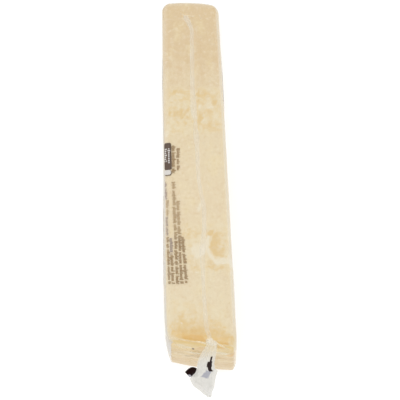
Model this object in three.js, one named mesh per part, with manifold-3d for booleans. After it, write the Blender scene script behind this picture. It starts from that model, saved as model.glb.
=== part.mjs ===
// A retail wedge of hard grana cheese, vacuum sealed in clear shrink film. It lies on one of its two radial
// cuts with the other one up. Millimetres, +Z up: the wheel's axis runs along X just past the thin tip at +Y,
// and the rind faces -Y. The pack is one closed solid: film and cheese, the lap seam that runs down the upper
// cut, and the gathered end seal that stands off the rind's upper edge as a crumpled tail.
import * as THREE from "three";
import { mergeVertices } from "three/addons/utils/BufferGeometryUtils.js";
import Module from "manifold-3d";

// The wedge, cut from a wheel of 400 mm diameter
const WHEEL_RADIUS = 200;
const WEDGE_ANGLE = Math.PI / 8; // a sixteenth of the wheel
const TIP_RADIUS = 12; // the blunt tip stops this far from the wheel's axis
const TIP_BOW = 1.3; // the tip's edge is bowed: its corners lie this far behind its middle
const TIP_SKEW = 0.05; // and it slants back by this share of the distance across
const TIP_SHAPE_ENDS = 40; // distance from the wheel's axis
const TIP_THICKNESS = 29.4; // between the two flat sides, across X
const RIND_THICKNESS = 36.3;
const RIND_SKEW = 0.155; // the rind leans out by this share of the distance across
const RIND_BULGE = 0.3; // the wheel's side is a little convex
const RIND_SKEW_STARTS = 0.6; // share of the wheel's radius
const UNEVENNESS = 0.3; // of the upper cut under the film
const LONG_WAVE = { outwards: 43, across: -21 }; // millimetres to each radian of its slow waves
const SHORT_WAVE = { outwards: 17, across: 9 };

// Rounded edges: how far along the wedge each shoulder reaches, and how deep it falls back
const EDGE_ROUND = 3.2;
const EDGE_ROUND_SHARE = 0.42; // of the section's height, where the wedge is thin
const LEFT_HEEL = { reach: 20, depth: 3 };
const RIGHT_HEEL = { reach: 8, depth: 3 };
const UPPER_HEEL = { reach: 5, depth: 4 };
const LOWER_HEEL = { reach: 4, depth: 3 };
const TIP_CORNER = { reach: 4.5, depth: 4.5 };
const TIP_NOSE = { reach: 3, depth: 1.4 };

// The lap seam: its place across X at shares of the way from tip to rind, and its uneven width
const SEAM_LINE = [[0.03, -1.4], [0.09, 0], [0.3, 0], [0.45, 1.6], [0.6, 3.2], [0.8, 2.8], [0.93, 3.4], [1, 4.4]];
const SEAM_HALF_WIDTH = 1.3;
const SEAM_WIDTH_SWING = 0.35; // share of the half width
const SEAM_SWINGS = 3.7; // from tip to rind
const SEAM_THICKNESS = 0.7;
const SEAM_SUNK = 0.2; // of its thickness, below the film's surface

// The tail, from its root on the upper cut to its pointed end
const TAIL_RUN = [[179, 73.6], [185.5, 76.4], [191, 75], [199.5, 69.5], [207, 61], [211.6, 52]]; // outwards, up
const TAIL_LEFT = [[0, 2.3], [0.2, -0.7], [0.44, -2.2], [0.62, -5.8], [0.7, -5.4], [0.94, 1.4], [1, 2.7]]; // share, X
const TAIL_RIGHT = [[0, 6.3], [0.1, 7.4], [0.44, 6.3], [0.55, 8], [0.68, 6.7], [0.85, 5.9], [1, 4.3]];
const TAIL_THICKNESS = 0.8; // a few layers of gathered film
const TAIL_PLEAT_DEPTH = 1.1;
const TAIL_PLEATS = 1.5; // waves across the tail
const TAIL_PLEAT_DRIFT = 0.45; // waves by which they move sideways from root to end

// The small fold that stands out at the tail's left side: the corners of its inner and its outer edge
const FOLD_INNER = [new THREE.Vector3(-0.8, -195.8, 71.6), new THREE.Vector3(-0.9, -201.6, 67.2)];
const FOLD_OUTER = [new THREE.Vector3(-7.7, -198.5, 66.6), new THREE.Vector3(-5.9, -202.6, 63.6)];
const FOLD_THICKNESS = 0.8;

// Grid steps across X, from tip to rind, and up the wedge
const WEDGE_STEPS = [12, 48, 16];
const CROWDING = [0.6, 0.75, 0.75]; // how far the steps crowd towards the rounded edges
const SEAM_STEPS = [2, 44];
const TAIL_STEPS = [10, 18];
const FOLD_STEPS = [4, 4];

const CHEESE_COLOUR = 0xe6d6b6;
const FILM_ROUGHNESS = 0.25;

const { lerp, clamp, smoothstep } = THREE.MathUtils;
const wasm = await Module();
wasm.setup();

// Moves the even steps of 0 to 1 closer together towards both ends.
function crowded(step, share) {
  return step - (share * Math.sin(2 * Math.PI * step)) / (2 * Math.PI);
}

// How far an elliptical shoulder falls back at a distance from its end.
function shoulder(distance, { reach, depth }) {
  const gone = clamp(1 - distance / reach, 0, 1);
  return depth * (1 - Math.sqrt(1 - gone * gone));
}

// The value at a share along a line of [share, value] points.
function along(line, share) {
  const found = line.findIndex(([place]) => place >= share);
  const end = found < 0 ? line.length - 1 : Math.max(found, 1);
  const [[from, low], [to, high]] = [line[end - 1], line[end]];
  return lerp(low, high, (share - from) / (to - from));
}

// A point at shares across and up a rectangle, drawn in at the corners so that they are rounded.
function roundedPoint(low, high, shares, radius) {
  const point = new THREE.Vector2(lerp(low.x, high.x, shares.x), lerp(low.y, high.y, shares.y));
  const inner = point.clone().clamp(low.clone().addScalar(radius), high.clone().addScalar(-radius));
  const corner = point.clone().sub(inner);
  const length = corner.length();
  if (length === 0) return point;
  return inner.addScaledVector(corner, Math.max(Math.abs(corner.x), Math.abs(corner.y)) / length);
}

// How far the upper cut stands proud at a distance from the wheel's axis and a place across X.
function unevenness(radius, x) {
  const [long, short] = [LONG_WAVE, SHORT_WAVE].map(
    ({ outwards, across }) => Math.sin(radius / outwards + x / across),
  );
  return UNEVENNESS * long * short;
}

// The place of a point at a distance from the wheel's axis, an arc length up from the lower cut, and X.
function onWheel(radius, arc, x) {
  const outer = smoothstep(radius, RIND_SKEW_STARTS * WHEEL_RADIUS, WHEEL_RADIUS);
  const heel = RIND_SKEW * x - RIND_BULGE * (2 * x / RIND_THICKNESS) ** 2;
  const inner = 1 - smoothstep(radius, TIP_RADIUS, TIP_SHAPE_ENDS);
  const tip = TIP_SKEW * x + TIP_BOW * (2 * x / TIP_THICKNESS) ** 2;
  const reach = radius + outer * heel + inner * tip;
  const angle = arc / radius;
  return new THREE.Vector3(x, -reach * Math.cos(angle), reach * Math.sin(angle));
}

// The wedge's outer skin, at shares from 0 to 1 across X, from tip to rind and up from the lower cut.
function wedgePoint(across, outwards, up) {
  const radius = lerp(TIP_RADIUS, WHEEL_RADIUS, crowded(outwards, CROWDING[1]));
  const fromTip = radius - TIP_RADIUS;
  const fromRind = WHEEL_RADIUS - radius;
  const half = lerp(TIP_THICKNESS, RIND_THICKNESS, fromTip / (WHEEL_RADIUS - TIP_RADIUS)) / 2;
  const corner = shoulder(fromTip, TIP_CORNER);
  const nose = shoulder(fromTip, TIP_NOSE);
  const shares = new THREE.Vector2(crowded(across, CROWDING[0]), crowded(up, CROWDING[2]));
  const place = lerp(-half, half, shares.x);
  const low = new THREE.Vector2(
    corner + shoulder(fromRind, LEFT_HEEL) - half,
    nose + shoulder(fromRind, LOWER_HEEL),
  );
  const high = new THREE.Vector2(
    half - corner - shoulder(fromRind, RIGHT_HEEL),
    radius * WEDGE_ANGLE - nose - shoulder(fromRind, UPPER_HEEL) + unevenness(radius, place) * shares.y,
  );
  const round = Math.min(EDGE_ROUND, EDGE_ROUND_SHARE * (high.y - low.y));
  const { x, y } = roundedPoint(low, high, shares, round);
  return onWheel(radius, y, x);
}

// A point above the upper cut, at a distance from the wheel's axis.
function onUpperCut(radius, x, height) {
  const arc = radius * WEDGE_ANGLE + unevenness(radius, x) + height;
  return onWheel(radius, arc, x);
}

// A manifold-3d solid of a closed three.js geometry.
function solidOf(geometry) {
  geometry.deleteAttribute("normal");
  geometry.deleteAttribute("uv");
  const merged = mergeVertices(geometry);
  const vertProperties = merged.attributes.position.array;
  return new wasm.Manifold(new wasm.Mesh({ numProp: 3, vertProperties, triVerts: merged.index.array }));
}

// The wedge: a box whose grid points are carried onto the wedge's skin.
function wedgeSolid() {
  const box = new THREE.BoxGeometry(1, 1, 1, ...WEDGE_STEPS);
  const places = box.attributes.position;
  for (let i = 0; i < places.count; i++) {
    // the box's Y runs from the rind to the tip, as the part's does
    const point = wedgePoint(places.getX(i) + 0.5, 0.5 - places.getY(i), places.getZ(i) + 0.5);
    places.setXYZ(i, point.x, point.y, point.z);
  }
  return solidOf(box);
}

// A closed sheet: two grids alike, half a thickness to each side of pointAt(share across, share along), joined
// round their rim. Its upper side faces the way that across turns to along.
function sheetSolid([across, length], pointAt, thickness) {
  const middle = new THREE.PlaneGeometry(1, 1, across, length);
  const places = middle.attributes.position;
  for (let i = 0; i < places.count; i++) {
    const point = pointAt(places.getX(i) + 0.5, 0.5 + places.getY(i));
    places.setXYZ(i, point.x, point.y, point.z);
  }
  middle.computeVertexNormals();
  const points = [];
  for (const side of [1, -1]) {
    for (let i = 0; i < places.count; i++) {
      const normal = new THREE.Vector3().fromBufferAttribute(middle.attributes.normal, i);
      const point = new THREE.Vector3().fromBufferAttribute(places, i);
      points.push(...point.addScaledVector(normal, (side * thickness) / 2).toArray());
    }
  }
  const faces = [...middle.index.array];
  for (let i = 0; i < middle.index.count; i += 3) {
    const [a, b, c] = middle.index.array.slice(i, i + 3);
    faces.push(a + places.count, c + places.count, b + places.count);
  }
  const rim = rimOf(across, length);
  rim.forEach((from, i) => {
    const to = rim[(i + 1) % rim.length];
    faces.push(from, from + places.count, to, to, from + places.count, to + places.count);
  });
  const sheet = new THREE.BufferGeometry();
  sheet.setAttribute("position", new THREE.Float32BufferAttribute(points, 3));
  sheet.setIndex(faces);
  return solidOf(sheet);
}

// The grid points round the rim of a PlaneGeometry, anticlockwise as its front is seen.
function rimOf(across, length) {
  const row = across + 1;
  const down = Array.from({ length }, (_, i) => i * row);
  const right = Array.from({ length: across }, (_, i) => length * row + i);
  const up = Array.from({ length }, (_, i) => (length - i) * row + across);
  const left = Array.from({ length: across }, (_, i) => across - i);
  return [...down, ...right, ...up, ...left];
}

// The lap seam: a narrow ribbon of doubled film, wider and narrower where it shrank unevenly.
function seamSolid() {
  const [start] = SEAM_LINE[0];
  const height = SEAM_THICKNESS / 2 - SEAM_SUNK;
  return sheetSolid(SEAM_STEPS, (share, upwards) => {
    const run = lerp(1, start, upwards);
    const radius = lerp(TIP_RADIUS, WHEEL_RADIUS - UPPER_HEEL.reach, run);
    const swing = 1 + SEAM_WIDTH_SWING * Math.sin(2 * Math.PI * SEAM_SWINGS * run);
    const x = along(SEAM_LINE, run) + lerp(-1, 1, share) * SEAM_HALF_WIDTH * swing;
    return onUpperCut(radius, x, height);
  }, SEAM_THICKNESS);
}

// The tail: a pleated sheet that leaves the upper cut over the rind's edge and droops outwards to a point.
function tailSolid() {
  const run = new THREE.SplineCurve(TAIL_RUN.map(([outwards, up]) => new THREE.Vector2(outwards, up)));
  return sheetSolid(TAIL_STEPS, (share, upwards) => {
    const place = 1 - upwards;
    const at = run.getPointAt(place);
    const slope = run.getTangentAt(place);
    const turn = 2 * Math.PI * (TAIL_PLEATS * share + TAIL_PLEAT_DRIFT * place);
    const pleat = TAIL_PLEAT_DEPTH * Math.sin(turn) * place;
    const x = lerp(along(TAIL_LEFT, place), along(TAIL_RIGHT, place), share);
    return new THREE.Vector3(x, -(at.x - pleat * slope.y), at.y + pleat * slope.x);
  }, TAIL_THICKNESS);
}

// The fold at the tail's side: a small four-cornered flap.
function foldSolid() {
  return sheetSolid(FOLD_STEPS, (share, upwards) => {
    const inner = FOLD_INNER[1].clone().lerp(FOLD_INNER[0], upwards);
    const outer = FOLD_OUTER[1].clone().lerp(FOLD_OUTER[0], upwards);
    return outer.lerp(inner, share);
  }, FOLD_THICKNESS);
}

// The sealed pack as one solid, standing with its box's bottom centre at the origin.
function sealedPack() {
  const solid = wedgeSolid().add(seamSolid()).add(tailSolid()).add(foldSolid());
  const { vertProperties, triVerts } = solid.getMesh();
  const geometry = new THREE.BufferGeometry();
  geometry.setAttribute("position", new THREE.BufferAttribute(vertProperties, 3));
  geometry.setIndex(new THREE.BufferAttribute(triVerts, 1));
  geometry.computeBoundingBox();
  const { min, max } = geometry.boundingBox;
  geometry.translate(-(min.x + max.x) / 2, -(min.y + max.y) / 2, -min.z);
  geometry.computeVertexNormals();
  const film = new THREE.MeshStandardMaterial({ color: CHEESE_COLOUR, roughness: FILM_ROUGHNESS, metalness: 0 });
  const pack = new THREE.Mesh(geometry, film);
  pack.name = "sealed_pack";
  return pack;
}

const granaWedge = new THREE.Group();
granaWedge.add(sealedPack());
export default granaWedge;
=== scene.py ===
# A retail wedge of grana cheese, vacuum sealed in clear shrink film. Metres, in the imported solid's frame: the
# thin tip points along +Y, the rind faces -Y, and the pack lies on its lower radial cut, the upper one up.
import math

import bpy
import numpy as np
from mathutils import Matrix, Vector


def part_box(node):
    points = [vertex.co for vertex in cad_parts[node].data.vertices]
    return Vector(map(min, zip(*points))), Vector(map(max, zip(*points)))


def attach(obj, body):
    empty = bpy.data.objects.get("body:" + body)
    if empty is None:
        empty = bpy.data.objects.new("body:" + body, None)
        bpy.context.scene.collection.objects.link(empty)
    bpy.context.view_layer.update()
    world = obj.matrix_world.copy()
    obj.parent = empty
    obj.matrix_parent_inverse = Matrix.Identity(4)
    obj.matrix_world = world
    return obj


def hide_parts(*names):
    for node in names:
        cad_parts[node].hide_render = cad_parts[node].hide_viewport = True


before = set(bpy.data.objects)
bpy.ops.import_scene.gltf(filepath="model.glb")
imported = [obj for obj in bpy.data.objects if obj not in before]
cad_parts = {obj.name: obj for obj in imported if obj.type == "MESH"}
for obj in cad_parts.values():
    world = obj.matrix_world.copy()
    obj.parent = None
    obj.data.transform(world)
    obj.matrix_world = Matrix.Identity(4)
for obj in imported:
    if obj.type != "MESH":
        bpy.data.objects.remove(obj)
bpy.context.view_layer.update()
pack_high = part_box("sealed_pack")[1]

# The cheese: a wedge of a wheel, cut along two radii a sixteenth of a turn apart, with the wheel's rind at
# its wide end. It is hard and fine grained, tan at the tip, amber under the rind, and mottled where the film
# clings to it wet.
MM = 0.001  # the tables of spots, courses and rows are in millimetres
WHEEL_RADIUS = 0.200
WEDGE_ANGLE = math.pi / 8
TIP_RADIUS = 0.012
TIP_BOW = 0.0011
TIP_SKEW = 0.065
TIP_SHAPE_ENDS = 0.040
TIP_THICKNESS = 0.0294
RIND_THICKNESS = 0.0363
RIND_SKEW = 0.168
RIND_BULGE = 0.0003
RIND_FOOT = 0.0010
RIND_FOOT_ENDS = 0.8
RIND_SKEW_STARTS = 0.6 * WHEEL_RADIUS
UNEVENNESS = 0.0003
LONG_WAVE = (0.043, -0.021)  # metres to each radian, outwards and across
SHORT_WAVE = (0.017, 0.009)
EDGE_ROUND_SHARE = 0.42
UPPER_HEEL = (0.005, 0.004)  # reach along the wedge, and depth
LOWER_HEEL = (0.004, 0.003)
TIP_CORNER = (0.0045, 0.0045)
TIP_NOSE = (0.003, 0.0014)
CROWDING = (0.6, 0.6, 0.75)
FILM_FIT = {
    "inset": 0.0,
    "edge_round": 0.0032,
    "left_heel": (0.020, 0.0027),
    "right_heel": (0.007, 0.0026),
    "left_gap": (0.020, -0.0015),
}
CHEESE_FIT = {
    "inset": 0.00025,
    "edge_round": 0.0036,
    "left_heel": (0.014, 0.0030),
    "right_heel": (0.007, 0.0026),
    "left_gap": (0.036, 0.0004),
}
GAP_OPENS = (0.4, 0.95)  # shares of the height over which the left gap opens
CHEESE_STEPS = (80, 240, 60)
COARSE_STEPS = (12, 48, 16)
SHARP_ANGLE = math.radians(40)
LIGHT_ON_TOP = 1.25
HASH_FACTORS = (73856093, 19349663, 83492791)
HASH_SEED = 40503
HASH_MIX = 1274126177
HASH_BITS = 0xFFFFFFFF
# layers of random lumps: height, size and seed
RELIEF_LUMPS = ((0.00004, 0.0011, 1), (0.00006, 0.007, 2))
RIND_LUMPS = ((0.00009, 0.0035, 3),)
RAGGED_LUMPS = ((0.2, 0.0018, 5),)
WARP_ACROSS = ((0.0013, 0.0045, 30), (0.0007, 0.0018, 31))
WARP_ALONG = ((0.0013, 0.0045, 40), (0.0007, 0.0018, 41))
RANDOM_AMBER = ((1.0, 0.018, 6), (0.6, 0.007, 7), (0.4, 0.003, 8))
RANDOM_PALE = ((1.0, 0.020, 9), (0.6, 0.008, 10), (0.5, 0.003, 11))
RIPE_LUMPS = ((0.0035, 0.009, 8),)
SMALL_WARP = 0.4  # share of the warp that reaches the rind's stains and the wet patch
UPPER_CUT = (0.8, 0.95)  # shares of the wedge's angle
# a strength where there is one, and from where to where it grows
RIND_FACING = (0.70, 0.92)
CUT_FACING = (0.78, 0.62)
SIDE_AMBER = (0.5, 0.45, 1.3)
SIDE_PALE = (0.5, 0.4, 1.4)
RIPE_DEPTH = (0.019, 0.001)
RIPE_THINS = (0.0040, 0.002, 0.010)
RIPE_LOST = (0.6, 0.2, 0.6)
CLEAR_LEFT = (-16.5, -10.0)  # in millimetres
CLEAR_RIGHT = (17.8, 11.2)
EDGE_STARTS = (0.1, 0.4)
EDGE_ENDS = (0.95, 0.70)
EDGE_ARC = (0.045, 0.060)
RIPE_ON_CUT = 0.55
SIDE_MOTTLE = 0.5
CRYSTAL_SPACING = 0.009
# stains on the upper cut: across X and by radius, half width, half length, strength
AMBER_STAINS = (
    (-7.5, 63.7, 2.6, 1.4, 0.75), (-9.7, 63.3, 1.2, 1.0, 0.65), (-4.4, 65.6, 0.9, 1.3, 0.6),
    (2.4, 64.3, 1.6, 1.8, 0.9), (2.1, 67.2, 0.9, 1.6, 0.75), (5.8, 64.4, 1.9, 1.3, 0.6),
    (11.6, 64.6, 2.0, 1.8, 0.65), (10.8, 68.6, 1.4, 1.8, 1.0), (-10.8, 68.9, 2.3, 1.8, 0.65),
    (-4.1, 73.1, 1.2, 2.3, 0.9), (-3.2, 76.3, 0.7, 2.0, 0.7), (-8.3, 76.4, 2.4, 3.4, 0.75),
    (-12.4, 75.2, 1.0, 1.8, 0.65), (2.5, 78.3, 1.2, 3.3, 1.0), (2.1, 83.4, 1.2, 2.3, 0.65),
    (7.7, 74.6, 2.0, 1.8, 0.7), (4.5, 75.5, 1.6, 1.3, 0.6), (4.9, 70.0, 1.6, 1.5, 0.6),
    (9.3, 83.1, 2.2, 2.4, 0.65), (-4.6, 81.5, 2.4, 2.0, 0.6), (-6.5, 64.2, 5.0, 2.2, 0.45),
    (7.0, 64.6, 7.0, 2.4, 0.5), (-8.0, 76.0, 4.5, 5.5, 0.5), (6.0, 74.5, 5.0, 3.0, 0.4),
    (8.5, 82.5, 5.0, 4.5, 0.4), (6.0, 140.9, 1.6, 2.0, 1.1), (7.8, 148.3, 1.9, 3.4, 1.3),
    (6.8, 140.0, 1.5, 1.0, 0.7), (6.0, 158.0, 2.6, 2.4, 0.62), (8.5, 159.6, 2.4, 1.5, 0.58),
    (12.0, 159.4, 2.2, 1.3, 0.55), (-4.7, 139.3, 2.0, 0.5, 0.75), (-2.6, 143.2, 6.4, 5.0, 0.36),
    (-2.4, 158.2, 3.6, 3.0, 0.5), (-6.2, 187.4, 6.2, 5.6, 0.54), (-13.5, 192.5, 4.0, 3.4, 0.45),
    (8.5, 189.0, 6.0, 4.0, 0.4), (14.6, 196.6, 2.6, 3.6, 0.66), (-8.5, 196.2, 6.2, 5.2, 0.82),
    (-2.0, 195.5, 7.0, 5.8, 0.82), (3.0, 196.0, 3.6, 5.2, 0.8), (10.2, 195.5, 7.5, 4.2, 0.74),
    (9.0, 197.2, 3.8, 3.0, 0.85), (-12.5, 196.8, 3.0, 3.0, 0.7), (-5.5, 197.9, 6.0, 1.8, 0.95),
    (-0.5, 197.6, 6.4, 2.6, 1.0), (9.8, 197.4, 2.0, 1.1, 0.92), (11.6, 198.1, 3.2, 1.5, 0.96),
)
PALE_STAINS = (
    (9.2, 71.2, 2.1, 1.3, 0.8), (2.7, 71.7, 1.4, 2.0, 0.6), (-13.9, 85.4, 1.6, 2.0, 0.6),
    (13.6, 155.6, 6.4, 2.2, 0.9), (6.4, 153.7, 1.2, 1.0, 0.9), (-0.2, 150.3, 4.6, 4.4, 0.75),
    (2.7, 150.2, 1.6, 3.2, 0.9), (-2.7, 155.0, 0.8, 2.1, 0.7), (-0.3, 161.8, 1.0, 0.7, 0.9),
    (0.9, 127.6, 1.3, 3.6, 0.8), (6.0, 166.4, 0.5, 0.5, 1.0),
)
WET_PATCH = (10.7, 147.1, 4.7, 7.4)  # across X and by radius, half width, half length
WET_RIM = (1.30, 0.17)  # distance from its middle and half width, in shares of the patch
WET_STREAKS = ((0.3, 1.3, 17),)  # lumps with their size in millimetres
# mottled zones of the upper cut: middle and half length by radius, middle and half width across X, strength
MOTTLED = (
    (74.0, 14.0, 0.4, 15.8, 1.0), (149.0, 15.0, 4.0, 14.0, 0.6), (190.0, 13.0, 0.0, 15.0, 0.6),
)
ZONE_RIM = (1.0, 0.75)
STAIN_RIM = (1.3, 0.55)
# stains on the rind: across X and up the rind, half width, half length, strength
RIND_AMBER = (
    (0.0, 69.5, 3.0, 4.2, 0.9), (9.8, 74.8, 3.4, 2.2, 0.8), (13.2, 58.3, 3.0, 1.6, 0.9),
    (15.8, 65.0, 3.6, 4.6, 1.0), (-7.2, 58.6, 6.0, 1.2, 0.65), (-4.6, 51.8, 5.4, 1.0, 0.9),
    (-14.2, 71.4, 0.7, 1.6, 0.9), (-11.6, 70.1, 1.2, 1.2, 0.7), (2.0, 35.0, 8.0, 3.0, 0.5),
    (-6.0, 45.0, 7.0, 3.0, 0.5), (8.5, 18.0, 6.0, 6.0, 0.5),
)
RIND_PALE = (
    (-10.2, 71.3, 2.4, 1.6, 0.95), (-6.8, 69.4, 2.6, 1.4, 0.9), (-3.0, 60.7, 3.2, 1.0, 0.9),
    (10.7, 66.5, 6.2, 2.4, 0.8), (-9.0, 60.0, 6.0, 1.4, 0.5),
)
RIND_SPOTS = (
    (-3.9, 68.1, 0.6, 1.3, 1.0), (15.4, 67.4, 0.5, 1.1, 0.5), (16.9, 68.4, 0.5, 1.1, 0.6),
    (-6.8, 53.0, 1.7, 0.7, 0.5), (-4.4, 54.6, 1.5, 0.7, 0.45), (-1.7, 53.4, 0.5, 0.8, 0.5),
    (-5.8, 37.2, 0.7, 1.0, 0.4), (-2.9, 40.2, 0.8, 1.0, 0.4),
)


def smooth(value, start, end):
    """0 before start, 1 after end, and between them the S-curve 3t^2 - 2t^3 of the share t of the way. It
    falls where start is the larger one."""
    t = np.clip((value - start) / (end - start), 0, 1)
    return t * t * (3 - 2 * t)


def share_of(value, strength, start, end):
    """A share of that strength, which grows from start to end along the S-curve."""
    return strength * smooth(value, start, end)


def shoulder(distance, reach, depth):
    """How far a quarter of an ellipse of that reach and depth falls back, at a distance from its end."""
    gone = np.clip(1 - distance / reach, 0, 1)
    return depth * (1 - np.sqrt(1 - gone * gone))


def crowded(steps, share):
    """Even steps from 0 to 1, moved closer together at both ends by a share of one sine wave."""
    return steps - share * np.sin(2 * np.pi * steps) / (2 * np.pi)


def rounded(x, y, low_x, high_x, low_y, high_y, radius):
    """Points of a rectangle, drawn in at its corners: what a point has beyond the inner rectangle, in both
    ways, is shortened to its larger part, so the corner squares become quarter circles."""
    inner_x = np.clip(x, low_x + radius, high_x - radius)
    inner_y = np.clip(y, low_y + radius, high_y - radius)
    length = np.hypot(x - inner_x, y - inner_y)
    larger = np.maximum(np.abs(x - inner_x), np.abs(y - inner_y))
    share = np.divide(larger, length, out=np.ones_like(length), where=length > 0)
    return inner_x + (x - inner_x) * share, inner_y + (y - inner_y) * share


def unevenness(x, radius):
    """How far the upper cut stands proud: the product of a long and a short wave over the cut."""
    long = np.sin(radius / LONG_WAVE[0] + x / LONG_WAVE[1])
    short = np.sin(radius / SHORT_WAVE[0] + x / SHORT_WAVE[1])
    return UNEVENNESS * long * short


def thickness_at(radius):
    """The wedge's thickness across X, which grows evenly from tip to rind."""
    share = (radius - TIP_RADIUS) / (WHEEL_RADIUS - TIP_RADIUS)
    return TIP_THICKNESS + (RIND_THICKNESS - TIP_THICKNESS) * share


def on_wheel(x, radius, arc):
    """Points by their place across X, their distance from the wheel's axis and their arc length up from the
    lower cut, seen from that axis. The rind end leans and bulges along X and stands out at its foot, and the
    tip's edge is bowed and slanted."""
    outer = smooth(radius, RIND_SKEW_STARTS, WHEEL_RADIUS)
    angle = arc / radius
    ends = (2 * x / RIND_THICKNESS) ** 2
    foot = RIND_FOOT * (1 - angle / WEDGE_ANGLE) * (1 - RIND_FOOT_ENDS * ends)
    heel = RIND_SKEW * x - RIND_BULGE * ends + foot
    inner = 1 - smooth(radius, TIP_RADIUS, TIP_SHAPE_ENDS)
    tip = TIP_SKEW * x + TIP_BOW * (2 * x / TIP_THICKNESS) ** 2
    reach = radius + outer * heel + inner * tip
    return np.stack((x, -reach * np.cos(angle), reach * np.sin(angle)), axis=-1)


def wedge_skin(shares, inset, edge_round, left_heel, right_heel, left_gap):
    """Across, radius and arc of the wedge's skin at shares from 0 to 1 across X, from rind to tip and up from
    the lower cut: at each radius a rectangle with rounded corners, which elliptical shoulders narrow at both
    ends. One more shoulder, the gap, draws in its upper left edge."""
    across, inwards, up = (crowded(shares[:, i], CROWDING[i]) for i in range(3))
    radius = WHEEL_RADIUS - inset - (WHEEL_RADIUS - TIP_RADIUS - 2 * inset) * inwards
    from_tip = radius - TIP_RADIUS - inset
    from_rind = WHEEL_RADIUS - inset - radius
    half = thickness_at(radius) / 2
    corner = shoulder(from_tip, *TIP_CORNER) + inset
    nose = shoulder(from_tip, *TIP_NOSE) + inset
    gap = shoulder(from_rind, *left_gap) * smooth(up, *GAP_OPENS)
    left = corner + shoulder(from_rind, *left_heel) + gap - half
    right = half - corner - shoulder(from_rind, *right_heel)
    bottom = nose + shoulder(from_rind, *LOWER_HEEL)
    proud = unevenness(half * (2 * across - 1), radius) * up
    top = radius * WEDGE_ANGLE - nose - shoulder(from_rind, *UPPER_HEEL) + proud
    x = left + (right - left) * across
    arc = bottom + (top - bottom) * up
    edge = np.minimum(edge_round, EDGE_ROUND_SHARE * (top - bottom))
    x, arc = rounded(x, arc, left, right, bottom, top, edge)
    return x, radius, arc


def box_shell(steps):
    """The surface of a lattice of cells: every point once, as shares from 0 to 1 of its three sides, and its
    squares as rows of four point numbers that run anticlockwise as seen from outside."""
    faces = []
    for axis in range(3):
        first, second = (axis + 1) % 3, (axis + 2) % 3
        i, j = np.meshgrid(np.arange(steps[first]), np.arange(steps[second]), indexing="ij")
        for end in (0, 1):
            turn = ((0, 0), (1, 0), (1, 1), (0, 1)) if end else ((0, 0), (0, 1), (1, 1), (1, 0))
            square = np.zeros((i.size, 4, 3), int)
            square[:, :, axis] = end * steps[axis]
            for corner, (step_i, step_j) in enumerate(turn):
                square[:, corner, first] = i.ravel() + step_i
                square[:, corner, second] = j.ravel() + step_j
            faces.append(square)
    places, numbers = np.unique(np.concatenate(faces).reshape(-1, 3), axis=0, return_inverse=True)
    return places / np.array(steps), numbers.reshape(-1, 4)


def outward(points, squares):
    """Unit normals: at each point the sum of the cross products of the diagonals of the squares round it."""
    first = points[squares[:, 2]] - points[squares[:, 0]]
    second = points[squares[:, 3]] - points[squares[:, 1]]
    face = np.cross(first, second)
    total = np.zeros_like(points)
    for corner in range(4):
        np.add.at(total, squares[:, corner], face)
    return total / np.linalg.norm(total, axis=1, keepdims=True)


def lumps(points, size, seed):
    """Smooth random values from -1 to 1: a hash of its whole numbers gives each corner of a lattice of cells
    a random value, and a point blends the values of the eight corners round it by S-curves."""
    cell = np.floor(points / size).astype(np.int64)
    part = smooth(points / size - cell, 0, 1)
    total = np.zeros(points.shape[:-1])
    for corner in np.ndindex(2, 2, 2):
        key = ((cell + corner) @ np.array(HASH_FACTORS) + seed * HASH_SEED) & HASH_BITS
        key = ((key ^ (key >> 13)) * HASH_MIX) & HASH_BITS
        value = ((key ^ (key >> 16)) & 0xFFFF) / 0x7FFF - 1
        total += value * np.prod(np.where(corner, part, 1 - part), axis=-1)
    return total


def layered(points, layers):
    """The sum of several layers of lumps, each with its own height, size and seed."""
    return sum(height * lumps(points, size, seed) for height, size, seed in layers)


def new_piece(name, points, squares, finish, slot, **attributes):
    """A mesh object at the origin that rides on the pack and stands for its solid, smooth but for its sharp
    edges, with attributes of one or three numbers for each point. Clear film lets the light through."""
    clear = slot == "clear_film"
    mesh = bpy.data.meshes.new(name)
    mesh.from_pydata(points.tolist(), [], squares.tolist())
    for title, values in attributes.items():
        kind, field = ("FLOAT", "value") if values.ndim == 1 else ("FLOAT_VECTOR", "vector")
        mesh.attributes.new(title, kind, "POINT").data.foreach_set(field, values.astype(np.float32).ravel())
    mesh.materials.append(finish)
    mesh.shade_smooth()
    mesh.set_sharp_from_angle(angle=SHARP_ANGLE)
    piece = bpy.data.objects.new(name, mesh)
    piece.visible_shadow = not clear
    piece.visible_diffuse = not clear
    bpy.context.scene.collection.objects.link(piece)
    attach(piece, "root")
    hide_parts("sealed_pack")


def math_node(operation, turned=False):
    """A method that adds one Math node of a socket and another value, or of the two turned round."""
    def method(self, other):
        first, second = (other, self) if turned else (self, other)
        return self.node("ShaderNodeMath", {"operation": operation}, {0: first, 1: second})
    return method


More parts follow.
